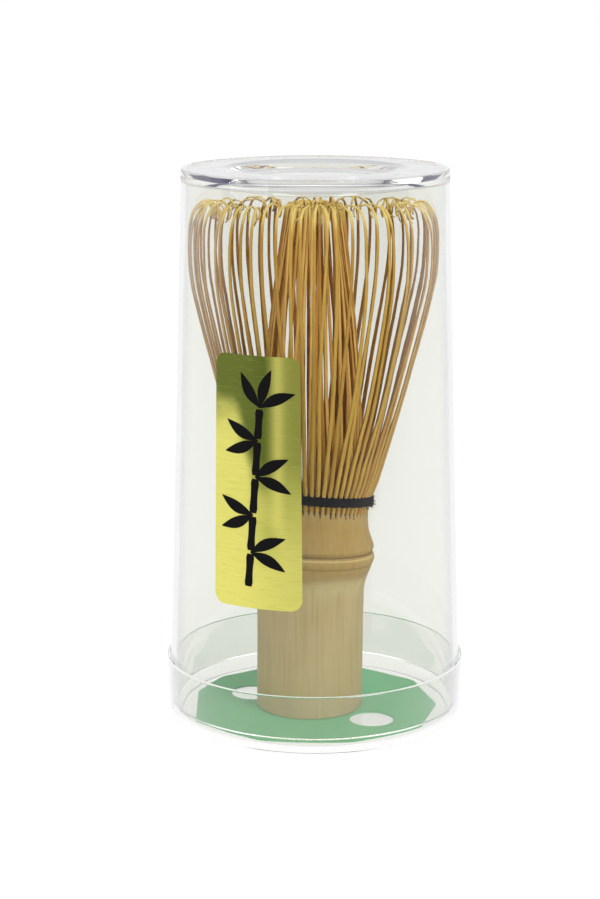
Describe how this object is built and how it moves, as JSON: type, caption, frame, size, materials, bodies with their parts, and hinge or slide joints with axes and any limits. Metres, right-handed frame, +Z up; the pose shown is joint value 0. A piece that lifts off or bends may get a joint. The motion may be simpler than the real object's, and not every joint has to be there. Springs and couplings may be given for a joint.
{
  "type": "bamboo tea whisk in case",
  "caption": "Bamboo tea whisk with split, hooked tines bound by dark thread, standing on a green card in a clear round case with a plug-in cover, shallow base cap and foil label.",
  "frame": {"origin": "centre of the flat underside of the case's base cap", "axes": "+Z up along the common axis of the case and the whisk, -Y towards the front, where the label is left of the middle"},
  "size_m": [0.068, 0.068, 0.1256],
  "materials": {
    "culm_bamboo": "satin",
    "outer_bamboo": "satin",
    "inner_bamboo": "satin",
    "thread": "matte",
    "clear_cover": "clear polished",
    "clear_base": "clear polished",
    "card": "matte",
    "foil": "metallic foil",
    "ink": "printed ink"
  },
  "bodies": {
    "base_cap": {"base": "clear_base"},
    "card": {"card_insert": "card"},
    "whisk": {"culm": "culm_bamboo", "outer_tines_01": "outer_bamboo", "outer_tines_02": "outer_bamboo", "outer_tines_03": "outer_bamboo", "outer_tines_04": "outer_bamboo", "outer_tines_05": "outer_bamboo", "outer_tines_06": "outer_bamboo", "outer_tines_07": "outer_bamboo", "outer_tines_08": "outer_bamboo", "outer_tines_09": "outer_bamboo", "outer_tines_10": "outer_bamboo", "outer_tines_11": "outer_bamboo", "outer_tines_12": "outer_bamboo", "outer_tines_13": "outer_bamboo", "outer_tines_14": "outer_bamboo", "outer_tines_15": "outer_bamboo", "outer_tines_16": "outer_bamboo", "inner_tines_01": "inner_bamboo", "inner_tines_02": "inner_bamboo", "inner_tines_03": "inner_bamboo", "inner_tines_04": "inner_bamboo", "inner_tines_05": "inner_bamboo", "inner_tines_06": "inner_bamboo", "inner_tines_07": "inner_bamboo", "inner_tines_08": "inner_bamboo", "inner_tines_09": "inner_bamboo", "inner_tines_10": "inner_bamboo", "inner_tines_11": "inner_bamboo", "inner_tines_12": "inner_bamboo", "inner_tines_13": "inner_bamboo", "inner_tines_14": "inner_bamboo", "inner_tines_15": "inner_bamboo", "inner_tines_16": "inner_bamboo", "binding_thread": "thread"},
    "case_cover": {"cover": "clear_cover", "foil_label": "foil", "label_print": "ink"}
  },
  "joints": [
    {"name": "card_lift", "type": "slide", "parent": "base_cap", "child": "card", "axis": [0, 0, 1], "range_m": [0, 0.02]},
    {"name": "whisk_lift", "type": "slide", "parent": "card", "child": "whisk", "axis": [0, 0, 1], "range_m": [0, 0.06]},
    {"name": "cover_lift", "type": "slide", "parent": "whisk", "child": "case_cover", "axis": [0, 0, 1], "range_m": [0, 0.13]}
  ]
}
